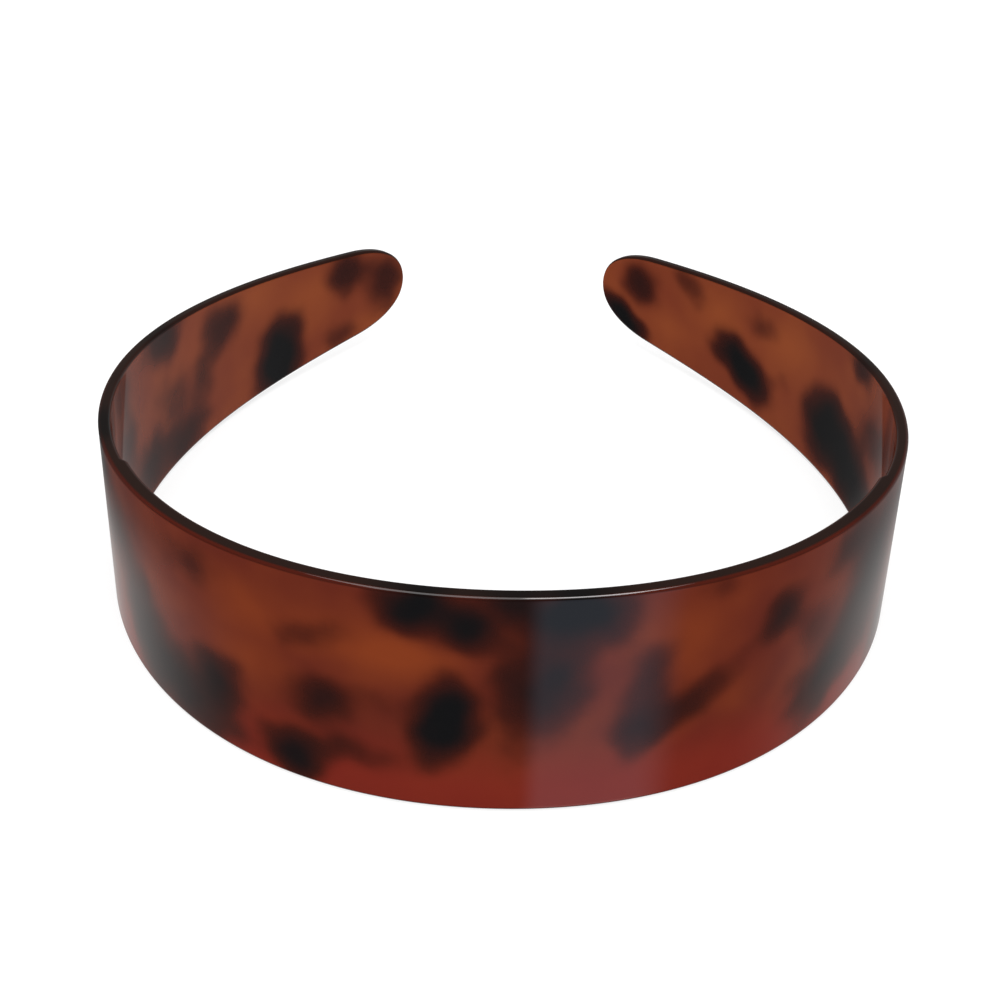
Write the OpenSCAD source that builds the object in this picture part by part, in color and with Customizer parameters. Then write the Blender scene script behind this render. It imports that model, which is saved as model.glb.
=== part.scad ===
// Wide one-piece plastic headband: a U-shaped strap that is thick over the crown,
// thins at a small inner step at each temple, and tapers to two rounded tips.
// The strap is drawn in three zones, so that each arm can spring open at its temple.
// +Z is up, -Y is the front of the crown, and the lower edge rests on Z = 0.

/* [Strap] */
// Length along the strap from the middle of the crown to a tip
half_length = 190; // [170:1:210]
// Width of the strap at the middle of the crown
crown_width = 38; // [30:1:50]
// Angle at which the upper and lower edges each close in towards the tips
edge_slope = 3.3; // [2:0.1:4]
// Extra taper of each edge, added over the last part of the arm
tip_taper = 3.6; // [2:0.1:5]
// Share of the half length at which the extra taper starts
taper_start = 0.55; // [0.4:0.05:0.7]
// Length of the rounded end of each tip
tip_length = 13; // [8:1:18]
// Fullness of the rounded end: 2 is an ellipse, and more makes its corners squarer
tip_fullness = 2.5; // [2:0.1:3]

/* [Thickness] */
// Thickness of the strap over the crown
crown_thickness = 2.6; // [2.4:0.1:3.4]
// Thickness of the arms behind the temple steps
arm_thickness = 2; // [1.6:0.1:2.3]
// Distance along the strap from the middle of the crown to each inner step
step_at = 73; // [70:1:80]
// Length of the step's slope
step_length = 1.2; // [0.6:0.1:2]
// Size of the small bevel along every edge
bevel = 0.5; // [0.2:0.05:0.6]

/* [Bend] */
// Bend of the strap in degrees per centimetre, at equal steps from the middle of the crown to a tip
bends = [7.1, 9.5, 9.4, 8.8, 4.4, 0]; // [0:0.1:10]

/* [Temple flex] */
// Distance along the strap from the middle of the crown to each flex line
flex_at = 66; // [60:1:68]
// Radial clearance between an arm's rounded root and its seat in the crown
flex_clearance = 0.08; // [0.06:0.01:0.1]

/* [Hidden] */
$fn = 48;
strap_colour = [0.42, 0.16, 0.07];
LEFT = -1;
RIGHT = 1;
walk_step = 0.5;          // step along the strap when its curve is walked
station_gap = 3;          // distance between two cross-sections
tip_stations = 9;         // cross-sections in a rounded end
walk_count = ceil(half_length / walk_step);
tip_start = half_length - tip_length;
root_recess = 0.03;       // how far a rounded root lies inside the strap's two faces
root_radius = crown_thickness / 2 - root_recess;
seat_radius = root_radius + flex_clearance;
root_inset = 0.2;         // how far a rounded root stops short of the strap's edges
min_half_width = 0.6;     // half width left at the very end of a tip

// Bend at a distance s from the middle of the crown, in degrees per millimetre
function bend_at(s) =
    let (t = min(abs(s) / half_length, 1) * (len(bends) - 1), i = min(floor(t), len(bends) - 2))
    (bends[i] + (bends[i + 1] - bends[i]) * (t - i)) / 10;

// The strap's outer face seen from above, walked from the middle of the crown: [x, y, heading]
walk = [
    for (i = 0, x = 0, y = 0, a = 0;
         i <= walk_count;
         m = a + bend_at((i + 0.5) * walk_step) * walk_step / 2,
         x = x + walk_step * cos(m),
         y = y + walk_step * sin(m),
         a = a + bend_at((i + 0.5) * walk_step) * walk_step,
         i = i + 1)
    [x, y, a]
];

// [x, y, heading] at a distance s from the middle of the crown, on the right-hand side
function on_walk(s) =
    let (t = min(s / walk_step, walk_count - 0.001), i = floor(t))
    walk[i] + (walk[i + 1] - walk[i]) * (t - i);

// Thickness of the strap at a distance s
function thickness_at(s) =
    let (t = min(max((s - step_at) / step_length, 0), 1))
    crown_thickness + (arm_thickness - crown_thickness) * t;

// Share of the full width that is left at a distance s, in the rounded end of a tip
function tip_share(s) =
    let (q = min(max((s - tip_start) / tip_length, 0), 1))
    pow(max(1 - pow(q, tip_fullness), 0), 1 / tip_fullness);

// Half width of the strap at a distance s, at a point that lies y behind the crown's front
function half_width(s, y) =
    let (t = max((s / half_length - taper_start) / (1 - taper_start), 0))
    max((crown_width / 2 - y * tan(edge_slope) - tip_taper * t * t) * tip_share(s), min_half_width);

// A point of the strap: depth inside the outer face, and edge from -1 (lower) to 1 (upper)
function strap_point(side, s, depth, edge, drop) =
    let (p = on_walk(s),
         x = p[0] - depth * sin(p[2]),
         y = p[1] + depth * cos(p[2]))
    [side * x, y, edge * (half_width(s, y) - drop)];

// The eight corners of a cross-section, as a closed ring
function ring(side, s) =
    let (t = thickness_at(s), b = min(bevel, t / 4))
    [
        strap_point(side, s, 0, 1, b),
        strap_point(side, s, 0, -1, b),
        strap_point(side, s, b, -1, 0),
        strap_point(side, s, t - b, -1, 0),
        strap_point(side, s, t, -1, b),
        strap_point(side, s, t, 1, b),
        strap_point(side, s, t - b, 1, 0),
        strap_point(side, s, b, 1, 0)
    ];

function backwards(list) = [for (i = [len(list) - 1 : -1 : 0]) list[i]];

// Distances at which cross-sections lie between two places on the same side
function stations(from, to) =
    let (n = max(ceil((to - from) / station_gap), 1))
    [for (i = [0 : n]) from + (to - from) * i / n];

// A closed solid through a list of rings
module sweep(rings) {
    n = len(rings[0]);
    m = len(rings);
    sides = [
        for (i = [0 : m - 2], j = [0 : n - 1])
        each let (a = i * n + j, b = i * n + (j + 1) % n, c = a + n, d = b + n)
            [[a, d, b], [a, c, d]]
    ];
    start_cap = [for (j = [1 : n - 2]) [0, j, j + 1]];
    end_cap = [for (j = [1 : n - 2]) [(m - 1) * n, (m - 1) * n + j + 1, (m - 1) * n + j]];
    polyhedron(points = [for (r = rings) each r], faces = concat(start_cap, sides, end_cap));
}

// A round bar on a flex line: a strap-high cylinder with bevelled ends
module flex_bar(side, radius, half_height, end_bevel) {
    p = strap_point(side, flex_at, crown_thickness / 2, 0, 0);
    straight = half_height - end_bevel;
    translate([p[0], p[1], -straight]) cylinder(h = 2 * straight, r = radius);
    if (end_bevel > 0) {
        for (end = [0, 1])
            mirror([0, 0, end]) translate([p[0], p[1], straight])
                cylinder(h = end_bevel, r1 = radius, r2 = radius - end_bevel);
    }
}

// Where a point of the strap comes to lie from front to back, once the strap is laid down
function laid_y(p) = p[1] * cos(edge_slope) + (p[2] + crown_width / 2) * sin(edge_slope);

// How far forward the strap moves, so that the origin is at the middle of its depth
laid_ys = [for (s = stations(0, half_length), p = ring(RIGHT, s)) laid_y(p)];
to_middle = (min(laid_ys) + max(laid_ys)) / 2;

// Lays the strap down so that its lower edge rests on Z = 0
module lay_down() {
    translate([0, -to_middle, 0]) rotate([-edge_slope, 0, 0]) translate([0, 0, crown_width / 2]) children();
}

module crown() {
    half = stations(0, flex_at);
    left_rings = [for (s = half) if (s > 0) ring(LEFT, s)];
    right_rings = [for (s = half) ring(RIGHT, s)];
    color(strap_colour) lay_down() difference() {
        sweep(concat(backwards(left_rings), right_rings));
        for (side = [LEFT, RIGHT])
            flex_bar(side, seat_radius, crown_width, 0);
    }
}

// One arm, from its rounded root on the flex line to its tip
module arm(side) {
    along = concat(
        stations(flex_at, step_at),
        stations(step_at + step_length, tip_start),
        [for (i = [1 : tip_stations]) tip_start + tip_length * sin(90 * i / tip_stations)]
    );
    rings = [for (s = along) ring(side, s)];
    root_y = strap_point(side, flex_at, crown_thickness / 2, 0, 0)[1];
    color(strap_colour) lay_down() union() {
        sweep(side == LEFT ? backwards(rings) : rings);
        flex_bar(side, root_radius, half_width(flex_at, root_y) - root_inset, bevel);
    }
}

module left_arm() arm(LEFT);

module right_arm() arm(RIGHT);

crown();
left_arm();
right_arm();
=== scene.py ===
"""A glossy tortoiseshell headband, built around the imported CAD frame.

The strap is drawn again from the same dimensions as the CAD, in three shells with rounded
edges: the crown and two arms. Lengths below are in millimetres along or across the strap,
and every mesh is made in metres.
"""
import math

import bpy
import numpy as np
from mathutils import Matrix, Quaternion, Vector


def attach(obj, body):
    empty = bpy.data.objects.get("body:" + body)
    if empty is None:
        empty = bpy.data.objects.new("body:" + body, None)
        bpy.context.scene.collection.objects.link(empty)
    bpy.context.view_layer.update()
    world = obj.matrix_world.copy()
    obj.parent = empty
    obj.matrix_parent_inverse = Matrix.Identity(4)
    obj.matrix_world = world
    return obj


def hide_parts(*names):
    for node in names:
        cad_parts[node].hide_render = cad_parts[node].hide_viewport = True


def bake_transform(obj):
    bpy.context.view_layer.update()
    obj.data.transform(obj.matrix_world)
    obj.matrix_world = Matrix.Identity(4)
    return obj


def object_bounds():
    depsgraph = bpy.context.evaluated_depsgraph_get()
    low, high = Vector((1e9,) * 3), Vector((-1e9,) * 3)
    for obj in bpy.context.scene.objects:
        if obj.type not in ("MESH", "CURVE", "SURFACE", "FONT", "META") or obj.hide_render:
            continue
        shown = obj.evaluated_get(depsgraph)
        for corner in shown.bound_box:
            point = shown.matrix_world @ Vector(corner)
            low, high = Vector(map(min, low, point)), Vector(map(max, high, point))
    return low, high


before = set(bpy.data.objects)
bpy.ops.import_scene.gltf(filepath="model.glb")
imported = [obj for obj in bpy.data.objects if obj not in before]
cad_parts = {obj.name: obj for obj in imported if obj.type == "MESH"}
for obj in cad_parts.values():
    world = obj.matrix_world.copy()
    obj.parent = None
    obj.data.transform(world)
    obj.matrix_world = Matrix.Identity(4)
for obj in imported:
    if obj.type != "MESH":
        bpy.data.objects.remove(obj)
cad_low, cad_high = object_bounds()

MM = 0.001
LEFT, RIGHT = -1, 1

# ---------------------------------------------------------------- the strap's dimensions
HALF_LENGTH = 190.0
CROWN_WIDTH = 38.0
EDGE_SLOPE = math.radians(3.3)
TIP_TAPER = 3.6
TAPER_START = 0.55
TIP_LENGTH = 13.0
TIP_FULLNESS = 2.5
CROWN_THICKNESS = 2.6
ARM_THICKNESS = 2.0
STEP_AT = 73.0
STEP_LENGTH = 1.2
STEP_SOFTNESS = 0.15
BENDS = [7.1, 9.5, 9.4, 8.8, 4.4, 0.0]
EDGE_RADIUS = 0.6
SEAM_AT = 50.0  # where the crown's shell meets each arm's shell, along the strap
WALK_STEP = 0.05
MIN_HALF_WIDTH = 0.45
MIN_FACE_HALF = 0.02  # half width left to a flat face at the very end of a tip
CORNER_RINGS = 8  # points round a rounded corner, counting both of its ends
# INNER_GLOW sets how much of the painted red glow the inner rounded corners get
INNER_GLOW = 0.3  # share of the outer corners' glow that the inner corners have


def walk_the_strap():
    """Outer face of the right half seen from above: rows of [distance, x, y, heading]."""
    count = round(HALF_LENGTH / WALK_STEP)
    s = np.arange(count + 1) * WALK_STEP
    middle = s[:-1] + WALK_STEP / 2
    turn = np.radians(np.interp(middle / HALF_LENGTH, np.linspace(0, 1, len(BENDS)), BENDS) / 10)
    heading = np.concatenate([[0], np.cumsum(turn * WALK_STEP)])
    along = heading[:-1] + turn * WALK_STEP / 2
    x = np.concatenate([[0], np.cumsum(np.cos(along) * WALK_STEP)])
    y = np.concatenate([[0], np.cumsum(np.sin(along) * WALK_STEP)])
    return np.stack([s, x, y, heading], 1)


WALK = walk_the_strap()


def on_walk(s):
    """x, y and heading at a distance s from the middle of the crown, on the right-hand side."""
    return [np.interp(s, WALK[:, 0], WALK[:, k]) for k in (1, 2, 3)]


def thickness_at(s):
    """Crown thickness, then a short slope with soft corners down to the arm's thickness."""
    spread = np.linspace(-STEP_SOFTNESS, STEP_SOFTNESS, 7)
    share = np.mean([np.clip((s + d - STEP_AT) / STEP_LENGTH, 0, 1) for d in spread])
    return CROWN_THICKNESS + (ARM_THICKNESS - CROWN_THICKNESS) * share


def half_width(s, y):
    """Half width at a distance s, at points that lie y behind the crown's front."""
    t = max((s / HALF_LENGTH - TAPER_START) / (1 - TAPER_START), 0)
    q = min(max((s - HALF_LENGTH + TIP_LENGTH) / TIP_LENGTH, 0), 1)
    flank = CROWN_WIDTH / 2 - y * math.tan(EDGE_SLOPE) - TIP_TAPER * t * t
    left = max(1 - q ** TIP_FULLNESS, 0) ** (1 / TIP_FULLNESS)
    return np.maximum(flank * left, MIN_HALF_WIDTH)


def cross_section(s):
    """Ring of [depth, share of the half width, drop below it, rim, bevel], outer face first.

    depth runs from 0 at the outer face to the thickness at the inner face. rim is 1 on the
    strap's edges and 0 on its two faces; the last column weighs the painted red glow, 1 half way
    round each outer rounded corner and INNER_GLOW half way round each inner one.
    """
    t = thickness_at(s)
    r = EDGE_RADIUS
    face = np.concatenate([[1.0, 0.988, 0.96], np.linspace(0.92, -0.92, 37), [-0.96, -0.988, -1.0]])
    corner = [(math.sin(a), math.cos(a), a / math.radians(90), math.sin(2 * a))
              for a in np.radians(np.linspace(0, 90, CORNER_RINGS))[1:-1]]
    flat = np.linspace(r, t - r, 5)
    ring = [(0.0, k, r if abs(k) == 1 else 0.0, 0.0, 0.0) for k in face]
    ring += [(r - r * ca, -1, r - r * sa, rim, bevel) for sa, ca, rim, bevel in corner]
    ring += [(d, -1, 0.0, 1.0, 0.0) for d in flat]
    ring += [(t - r + r * ca, -1, r - r * sa, rim, INNER_GLOW * bevel)
             for sa, ca, rim, bevel in corner[::-1]]
    ring += [(t, -k, r if abs(k) == 1 else 0.0, 0.0, 0.0) for k in face]
    ring += [(t - r + r * ca, 1, r - r * sa, rim, INNER_GLOW * bevel)
             for sa, ca, rim, bevel in corner]
    ring += [(d, 1, 0.0, 1.0, 0.0) for d in flat[::-1]]
    ring += [(r - r * ca, 1, r - r * sa, rim, bevel) for sa, ca, rim, bevel in corner[::-1]]
    return np.array(ring)


# Where the strap lies: tilted so that its lower edge rests on the floor, and centred front to
# back on the CAD model's box.
FRONT_Y = cad_low.y / MM


def lay_down(p):
    c, s = math.cos(EDGE_SLOPE), math.sin(EDGE_SLOPE)
    z = p[:, 2] + CROWN_WIDTH / 2
    return np.stack([p[:, 0], FRONT_Y + p[:, 1] * c + z * s, -p[:, 1] * s + z * c], 1)


def strap_ring(signed_s):
    """World points of the cross-section at a signed distance, with [s, z, rim, bevel] for each."""
    side = LEFT if signed_s < 0 else RIGHT
    s = abs(signed_s)
    ring = cross_section(s)
    x0, y0, heading = on_walk(s)
    depth, share, drop, rim, bevel = ring.T
    x = x0 - depth * math.sin(heading)
    y = y0 + depth * math.cos(heading)
    half = half_width(s, y)
    inner = np.maximum(half - EDGE_RADIUS, MIN_FACE_HALF)
    z = np.where(np.abs(share) == 1, share * np.maximum(half - drop, MIN_FACE_HALF), share * inner)
    points = lay_down(np.stack([side * x, y, z], 1))
    facts = np.stack([np.full(len(z), signed_s), z, rim, bevel], 1)
    return points, facts


# ---------------------------------------------------------------- the tortoiseshell pattern
# Dark blotches, listed one by one: [s, z, half length, half height, strength, tilt in degrees]. s is
# the signed distance along the strap from the middle of the crown, z is the height on it.
BLOTCHES = [
    # crown, from the left to the right
    [-64, -6, 6, 8, 0.75, 0], [-55, -12, 8.5, 6, 0.85, -10],
    [-45, -6, 5.4, 4.6, 0.8, 20], [-44, -14, 7, 4, 0.4, 0],
    [-49, 13, 6, 3.2, 0.35, 15], [-31, -14, 4.2, 4.6, 0.9, 80], [-26, -2.5, 5, 3.9, 0.7, 0],
    [-28, 9, 6, 2.6, 0.36, 15], [-24, -11, 5, 2.6, 0.25, 0], [-17, -1, 4, 2.6, 0.25, 0],
    [-8, -3.2, 6.8, 4.1, 1.15, 84], [-12.5, 17, 5.2, 4, 1.05, 0], [-5, 13.5, 4.2, 3.8, 0.95, -20],
    [1, 5, 3.2, 6, 0.45, 0], [7, 4, 5.2, 7.5, 0.85, 0],
    [10.5, 16, 7.5, 5.4, 1.05, 0], [1, 18.5, 4, 3, 0.7, 0],
    [21.5, 5, 3.8, 5.5, 0.5, -10], [20, -4, 3.8, 5, 0.58, 0], [28, -2.5, 9.5, 3, 0.55, 37],
    [43, 8, 4.5, 3.6, 0.68, 40], [51, 3, 4, 4, 0.4, 0], [57, -7, 11, 5.8, 0.8, 32],
    [58, 14, 6, 3.6, 0.55, 0], [32, 17, 4, 2.2, 0.25, 0],
    [67, 5, 8, 12, 0.8, 0], [-69, 6, 6, 12, 0.25, 0],
    [-20, -11, 8, 3, 0.3, 0], [2, -6, 4, 6, 0.2, 0], [-60, 12, 5, 4, 0.15, 0],
    # left arm, from the temple to the tip
    [-76, 4, 7, 5, 0.5, 30], [-86, 14, 9, 4, 0.9, 0],
    [-92, -6, 6, 8, 0.7, 0], [-103, 12, 5, 4.5, 0.5, 0],
    [-104, 0, 6, 7, 0.45, 0], [-115, -9, 7, 5, 0.62, 15],
    [-128, -10, 6.5, 4.2, 0.64, 0], [-125, -1, 7, 6, 0.32, 0],
    [-123, 12.5, 6.4, 4, 0.68, 0], [-136, 0, 3.8, 8, 0.4, 15], [-142, 7, 4.8, 4.2, 0.54, 0],
    [-157, -5.6, 7.6, 5.3, 1.1, 108], [-175, 6, 5, 4.4, 0.58, 0], [-173, -7, 4.5, 2.8, 0.36, 0],
    [-185, 0, 4.6, 6.2, 0.52, 0],
    # right arm, from the temple to the tip
    [77, -12, 6, 5, 0.6, 0], [84, 9, 8, 5, 0.6, -20], [90, -8, 6, 6, 0.7, 0], [101, 7, 5, 5, 0.4, 0],
    [108, 3, 6, 4.2, 0.4, 0], [110, -9, 7, 5, 0.8, 0], [116, 14, 4.6, 3.2, 0.6, 0],
    [118, -6, 7, 5.8, 1.0, 0], [126, -4.2, 6.4, 6.8, 1.05, 0], [141, -2, 2.8, 2.2, 0.25, 0],
    [147, 7, 4.5, 2.8, 0.32, 0], [152, -4, 7.3, 3.9, 1.05, 22], [168, 7.5, 4.4, 2.8, 0.38, 30],
    [180, 3.5, 4.6, 4, 0.62, 0], [184, -5.8, 6.2, 2.8, 1.0, 25],
]
# A blotch fades from its heart at SOFT_START of its half sizes to nothing at SOFT_END of them.
SOFT_START, SOFT_END = 0.05, 1.85
BLOTCH_POWER = 2.2  # 2 makes a blotch an ellipse, and more makes its corners squarer

# Lighter honey patches, listed in the same way: [s, z, half length, half height, strength].
HONEY = [
    [-16, 8, 12, 4, 1.0], [-40, 11, 10, 5, 0.8], [-37, 0, 8, 4, 0.5], [-57, 4, 5, 4, 0.5],
    [27, 11, 8, 6, 0.8], [36, -3, 5, 5, 0.4], [-3, -14, 9, 4, 0.5], [-45, 14, 6, 3, 0.4],
    [-165, 4, 8, 6, 0.8], [-150, 9, 6, 4, 0.6], [160, 5, 8, 6, 0.8], [140, 6, 8, 5, 0.7],
    [173, -3, 5, 4, 0.6], [-180, -7, 5, 3, 0.5],
]


def honey_field(s, z):
    """How light the amber is at each point."""
    field = np.zeros(len(s))
    for at_s, at_z, long, high, strength in HONEY:
        d = np.hypot((s - at_s) / long, (z - at_z) / high)
        field = np.maximum(field, strength * np.exp(-d * d))
    return field


def blotch_field(s, z):
    """How dark the plastic is at each point, before the fine grain: 0 amber, 1 the heart of a blotch."""
    wander_s = 0.4 * np.sin(0.41 * z + 0.23 * s) + 0.3 * np.sin(0.93 * z - 0.43 * s + 1.7)
    wander_z = 0.5 * np.sin(0.39 * s + 0.6) + 0.3 * np.sin(0.87 * s + 0.31 * z + 2.4)
    clear = np.ones(len(s))
    for at_s, at_z, long, high, strength, tilt in BLOTCHES:
        c, k = math.cos(math.radians(tilt)), math.sin(math.radians(tilt))
        u, v = s + wander_s - at_s, z + wander_z - at_z
        along, over = np.abs((u * c + v * k) / long), np.abs((v * c - u * k) / high)
        d = (along ** BLOTCH_POWER + over ** BLOTCH_POWER) ** (1 / BLOTCH_POWER)
        t = np.clip((SOFT_END - d) / (SOFT_END - SOFT_START), 0, 1)
        clear *= 1 - np.minimum(strength * t * t * (3 - 2 * t), 1)
    return 1 - clear


# ---------------------------------------------------------------- meshes
def stations(start, end, gap):
    count = max(round(abs(end - start) / gap), 1)
    return list(np.linspace(start, end, count + 1))


STATION_GAP = 1.0
STEP_GAP = 0.05  # between the cross-sections on a temple step
TIP_STATIONS = 40


def seam_side(at, towards):
    """Extra cross-sections very close to a seam, so that both shells shade alike there."""
    way = math.copysign(1, towards - at)
    return [at, at + way * 0.02, at + way * 0.3]


def crown_stations():
    inside = stations(-SEAM_AT + 1, SEAM_AT - 1, STATION_GAP)
    return seam_side(-SEAM_AT, 0) + inside + seam_side(SEAM_AT, 0)[::-1]


def arm_stations(side):
    plain = stations(SEAM_AT + 1, STEP_AT - 1, STATION_GAP)
    step = stations(STEP_AT - 0.4, STEP_AT + STEP_LENGTH + 0.4, STEP_GAP)
    arm = stations(STEP_AT + STEP_LENGTH + 1.2, HALF_LENGTH - TIP_LENGTH - 0.5, STATION_GAP)
    tip = [HALF_LENGTH - TIP_LENGTH * (1 - math.sin(math.radians(a)))
           for a in np.linspace(0, 90, TIP_STATIONS)]
    return [side * s for s in seam_side(SEAM_AT, HALF_LENGTH) + plain + step + arm + tip]


def shell(name, places):
    """A closed solid through the cross-sections at these signed distances."""
    if places[0] > places[-1]:
        places = places[::-1]
    rings = [strap_ring(s) for s in places]
    points = np.concatenate([p for p, _ in rings]) * MM
    facts = np.concatenate([f for _, f in rings])
    n, m = len(rings[0][0]), len(rings)
    a = (np.arange(m - 1)[:, None] * n + np.arange(n)[None]).ravel()
    b = (np.arange(m - 1)[:, None] * n + (np.arange(n)[None] + 1) % n).ravel()
    quads = np.stack([a, b, b + n, a + n], 1).tolist()
    caps = [list(range(n - 1, -1, -1)), list(range((m - 1) * n, m * n))]
    mesh = bpy.data.meshes.new(name)
    mesh.from_pydata(points.tolist(), [], quads + caps)
    for polygon in mesh.polygons:
        polygon.use_smooth = len(polygon.vertices) == 4
    cap_edges = {tuple(sorted(key)) for polygon in mesh.polygons if len(polygon.vertices) > 4
                 for key in polygon.edge_keys}
    for edge in mesh.edges:
        edge.use_edge_sharp = tuple(sorted(edge.vertices)) in cap_edges
    from_middle = np.abs(facts[:, 0])
    values = {
        "blotch": blotch_field(facts[:, 0], facts[:, 1]),
        "honey": honey_field(facts[:, 0], facts[:, 1]),
        "rim": facts[:, 2],
        # the painted glow in the rounded corners weakens from 60 to 90 mm, where the strap gets thinner
        "bevel": facts[:, 3] * (1 - 0.6 * np.clip((from_middle - 60) / 30, 0, 1)),
        # mask for the painted light shining through the thinner arms
        "thin": np.clip((from_middle - 80) / 40, 0, 1),
        "height": facts[:, 1],
    }
    for key, value in values.items():
        mesh.attributes.new(key, "FLOAT", "POINT").data.foreach_set("value", value.astype(np.float32))
    corner_vertex = np.zeros(len(mesh.loops), np.int32)
    mesh.loops.foreach_get("vertex_index", corner_vertex)
    uv = facts[corner_vertex][:, :2] * MM
    mesh.uv_layers.new(name="strap").data.foreach_set("uv", uv.astype(np.float32).ravel())
    mesh.update()
    piece = bpy.data.objects.new(name, mesh)
    bpy.context.scene.collection.objects.link(piece)
    piece.data.materials.append(tortoiseshell)
    return piece


# ---------------------------------------------------------------- the material
def colour(code):
    """Linear colour of a #rrggbb code."""
    parts = [int(code[i:i + 2], 16) / 255 for i in (1, 3, 5)]
    linear = [p / 12.92 if p <= 0.04045 else ((p + 0.055) / 1.055) ** 2.4 for p in parts]
    return (*linear, 1.0)


class Nodes:
    """Small helper that adds and joins shader nodes."""

    def __init__(self, tree):
        self.tree = tree

    def add(self, kind, links=(), **settings):
        made = self.tree.nodes.new(kind)
        for key, value in settings.items():
            setattr(made, key, value)
        for socket, source in links:
            self.put(made.inputs[socket], source)
        return made

    def put(self, socket, source):
        if isinstance(source, bpy.types.NodeSocket):
            self.tree.links.new(source, socket)
        else:
            socket.default_value = source

    def maths(self, operation, *sources):
        made = self.add("ShaderNodeMath", operation=operation)
        for i, source in enumerate(sources):
            self.put(made.inputs[i], source)
        return made.outputs[0]

    def mix(self, factor, a, b):
        made = self.add("ShaderNodeMix", data_type="RGBA")
        self.put(made.inputs["Factor"], factor)
        self.put(made.inputs["A"], a)
        self.put(made.inputs["B"], b)
        return made.outputs["Result"]

    def smooth(self, value, low, high):
        made = self.add("ShaderNodeMapRange", interpolation_type="SMOOTHSTEP")
        self.put(made.inputs["Value"], value)
        made.inputs["From Min"].default_value = low
        made.inputs["From Max"].default_value = high
        return made.outputs["Result"]

    def noise(self, vector, scale, detail=2.0, roughness=0.5):
        links = [("Vector", vector), ("Scale", scale), ("Detail", detail), ("Roughness", roughness)]
        return self.add("ShaderNodeTexNoise", links).outputs["Fac"]

    def attribute(self, name):
        return self.add("ShaderNodeAttribute", attribute_name=name).outputs["Fac"]


def make_tortoiseshell():
    material = bpy.data.materials.new("tortoiseshell")
    material.use_nodes = True
    tree = material.node_tree
    tree.nodes.clear()
    n = Nodes(tree)
    flat_map = n.add("ShaderNodeUVMap", uv_map="strap").outputs["UV"]
    height = n.attribute("height")
    # blotches with smoky edges
    fine, coarse = n.noise(flat_map, 260.0, 2.0, 0.45), n.noise(flat_map, 75.0, 2.0, 0.5)
    ragged = n.maths("MULTIPLY", n.maths("SUBTRACT", fine, 0.5), 0.14)
    smoky = n.maths("MULTIPLY", n.maths("SUBTRACT", coarse, 0.5), 0.34)
    dark = n.maths("ADD", n.maths("ADD", n.attribute("blotch"), ragged), smoky)
    core = n.smooth(dark, 0.1, 1.0)
    # amber ground that drifts between honey and red-brown, and is lighter where the strap is thin:
    # painted light shining through the thinner plastic
    drift = n.maths("MULTIPLY", n.smooth(n.noise(flat_map, 60.0, 2.0, 0.5), 0.36, 0.66), 0.35)
    light = n.maths("ADD", drift, n.maths("MULTIPLY", n.attribute("honey"), 0.75))
    ground = n.mix(light, colour("#5A2218"), colour("#7C361A"))
    low_edge = n.maths("MULTIPLY", n.smooth(height, -3.0, -16.0), 0.8)
    ground = n.mix(low_edge, ground, colour("#76241A"))
    thin_glow_ground = n.mix(light, colour("#743420"), colour("#8E4725"))
    ground = n.mix(n.attribute("thin"), ground, thin_glow_ground)
    halo = n.mix(n.smooth(dark, 0.02, 0.55), ground, colour("#46190F"))
    body = n.mix(core, halo, colour("#101011"))
    # painted shade and glow: the strap's edges are painted dark, standing in for the dim light seen
    # through the long path of plastic there, with a painted red glow in their rounded corners
    edge = n.mix(core, colour("#1E100B"), colour("#070606"))
    glow = n.mix(core, colour("#43140A"), colour("#050404"))
    edge = n.mix(n.attribute("bevel"), edge, glow)
    body = n.mix(n.smooth(n.attribute("rim"), 0.02, 0.3), body, edge)
    shader = n.add("ShaderNodeBsdfPrincipled")
    n.put(shader.inputs["Base Color"], body)
    wear = n.noise(flat_map, 240.0, 2.0, 0.5)
    n.put(shader.inputs["Roughness"], n.maths("ADD", n.maths("MULTIPLY", wear, 0.03), 0.03))
    shader.inputs["IOR"].default_value = 1.5
    ripple = n.add("ShaderNodeBump", [("Height", n.noise(flat_map, 45.0, 1.0, 0.4))])
    ripple.inputs["Strength"].default_value = 0.05
    ripple.inputs["Distance"].default_value = 0.0002
    n.put(shader.inputs["Normal"], ripple.outputs["Normal"])
    output = n.add("ShaderNodeOutputMaterial")
    tree.links.new(shader.outputs["BSDF"], output.inputs["Surface"])
    return material


tortoiseshell = make_tortoiseshell()

crown = shell("crown_shell", crown_stations())
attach(crown, "crown")
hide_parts("crown")

for side, body in ((LEFT, "left_arm"), (RIGHT, "right_arm")):
    arm = shell(body + "_shell", arm_stations(side))
    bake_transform(arm)
    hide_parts(body)


# ---------------------------------------------------------------- floor, light and camera
def make_floor():
    """Plain white paper under the band."""
    half = 3.0
    corners = [(-half, -half, 0), (half, -half, 0), (half, half, 0), (-half, half, 0)]
    mesh = bpy.data.meshes.new("floor")
    mesh.from_pydata(corners, [], [(0, 1, 2, 3)])
    floor = bpy.data.objects.new("floor", mesh)
    bpy.context.scene.collection.objects.link(floor)
    paper = bpy.data.materials.new("white_paper")
    paper.use_nodes = True
    shader = paper.node_tree.nodes["Principled BSDF"]
    shader.inputs["Base Color"].default_value = (0.3, 0.3, 0.3, 1)
    shader.inputs["Emission Color"].default_value = (1, 1, 1, 1)
    shader.inputs["Emission Strength"].default_value = 0.72
    shader.inputs["Roughness"].default_value = 0.8
    shader.inputs["Specular IOR Level"].default_value = 0.1
    mesh.materials.append(paper)
    floor.visible_glossy = False


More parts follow.
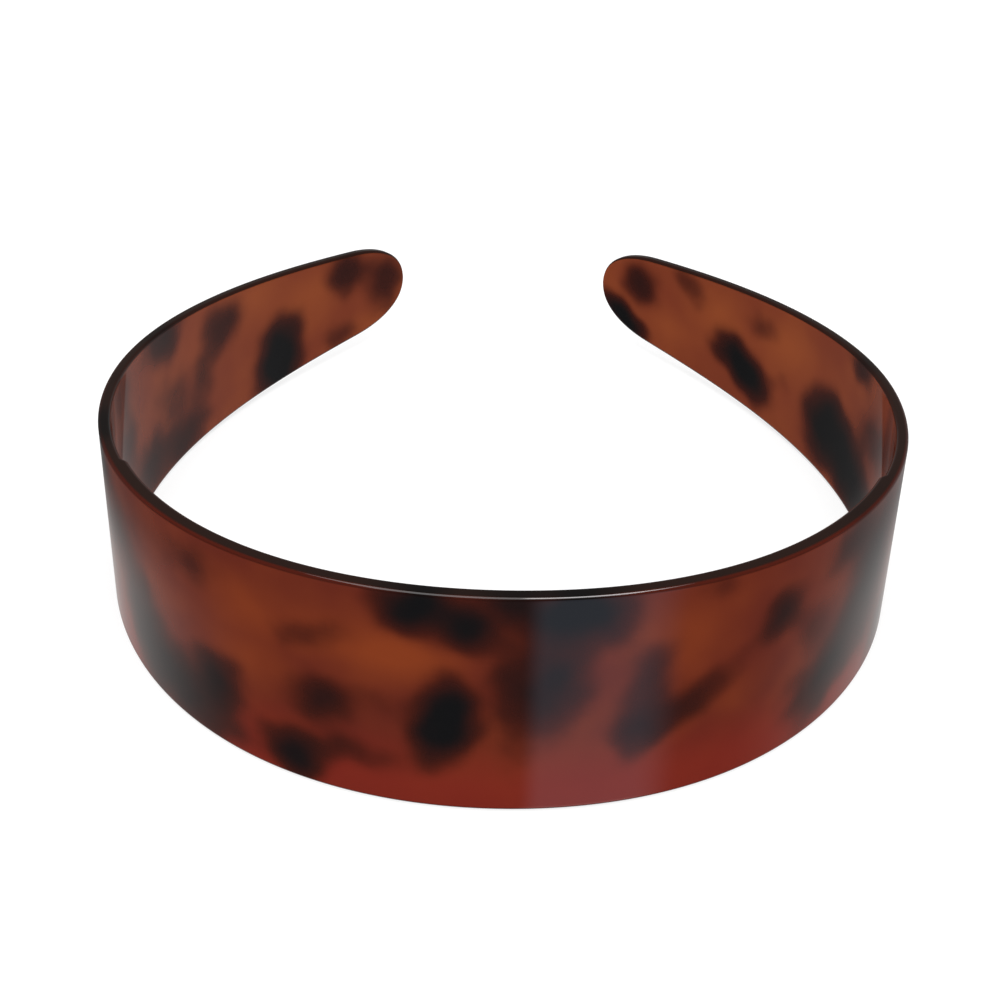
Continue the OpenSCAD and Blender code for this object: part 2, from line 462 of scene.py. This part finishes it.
def make_world():
    """White studio light all round. Reflections see a calmer room than the white floor."""
    world = bpy.data.worlds.new("studio")
    bpy.context.scene.world = world
    world.use_nodes = True
    tree = world.node_tree
    tree.nodes.clear()
    n = Nodes(tree)
    direction = n.add("ShaderNodeTexCoord").outputs["Generated"]
    parts = n.add("ShaderNodeSeparateXYZ", [("Vector", direction)])
    x, y, z = parts.outputs
    inside = n.mix(n.smooth(x, -0.5, -0.05), (0.1, 0.1, 0.1, 1), (0.26, 0.26, 0.26, 1))
    back = n.mix(n.smooth(z, -0.56, -0.61), inside, (0.53, 0.51, 0.5, 1))
    room = n.mix(n.smooth(y, -0.4, 0.5), (0.04, 0.04, 0.045, 1), back)
    room = n.mix(n.smooth(z, -0.1, 0.4), room, (0.09, 0.09, 0.09, 1))
    # a tall window in front, a little to the right, dimmer above than where it meets the floor
    turn = n.maths("ARCTAN2", x, n.maths("MULTIPLY", y, -1.0))
    across = n.maths("MULTIPLY", n.smooth(turn, 0.09, 0.2), n.smooth(turn, 0.86, 0.6))
    upright = n.maths("MULTIPLY", n.smooth(z, 0.3, 0.1), n.smooth(z, -0.88, -0.77))
    across = n.maths("MULTIPLY", across, upright)
    window = n.mix(n.smooth(z, -0.62, -0.74), (0.42, 0.47, 0.58, 1), (1.35, 1.2, 1.25, 1))
    room = n.mix(across, room, window)
    # a lamp overhead, seen as a thin bright line in the crown's rounded front edge
    lamp = n.maths("MULTIPLY", n.smooth(x, 0.05, 0.07), n.smooth(x, 0.42, 0.3))
    deep = n.maths("MULTIPLY", n.smooth(y, -0.2, -0.16), n.smooth(y, 0.2, 0.16))
    lamp = n.maths("MULTIPLY", lamp, deep)
    lamp = n.maths("MULTIPLY", lamp, n.smooth(z, 0.7, 0.8))
    room = n.mix(lamp, room, (11.0, 10.5, 10.5, 1))
    seen = n.add("ShaderNodeLightPath").outputs["Is Glossy Ray"]
    shown = n.mix(seen, (1, 1, 1, 1), room)
    light = n.add("ShaderNodeBackground", [("Color", shown), ("Strength", 1.0)])
    output = n.add("ShaderNodeOutputWorld")
    tree.links.new(light.outputs[0], output.inputs["Surface"])


def area_light(name, place, aim, size, power):
    """A rectangular lamp at place, turned towards aim."""
    data = bpy.data.lights.new(name, "AREA")
    data.shape = "RECTANGLE"
    data.size, data.size_y = size
    data.energy = power
    light = bpy.data.objects.new(name, data)
    bpy.context.scene.collection.objects.link(light)
    light.location = place
    light.rotation_euler = (Vector(aim) - Vector(place)).to_track_quat("-Z", "Y").to_euler()


def make_camera():
    """The camera of the main view: a little above the band, in front of the crown."""
    azimuth, elevation, roll = math.radians(-0.65), math.radians(36.2), math.radians(1.6)
    target = Vector((-0.0003, -0.0143, 0.0159))
    distance = 0.3019
    back = Vector((
        math.sin(azimuth) * math.cos(elevation),
        -math.cos(azimuth) * math.cos(elevation),
        math.sin(elevation),
    ))
    data = bpy.data.cameras.new("camera")
    data.lens = 66.15
    data.sensor_width = 36
    data.clip_start = 0.01
    camera = bpy.data.objects.new("camera", data)
    bpy.context.scene.collection.objects.link(camera)
    camera.location = target + back * distance
    turn = (-back).to_track_quat("-Z", "Y")
    spin = Quaternion((0, 0, 1), roll)
    camera.rotation_mode = "QUATERNION"
    camera.rotation_quaternion = turn @ spin
    bpy.context.scene.camera = camera


make_floor()
make_world()
area_light("top_softbox", (0.0, -0.1, 0.9), (0, 0, 0), (0.8, 0.8), 6.0)
make_camera()
bpy.context.scene.view_settings.view_transform = "Standard"
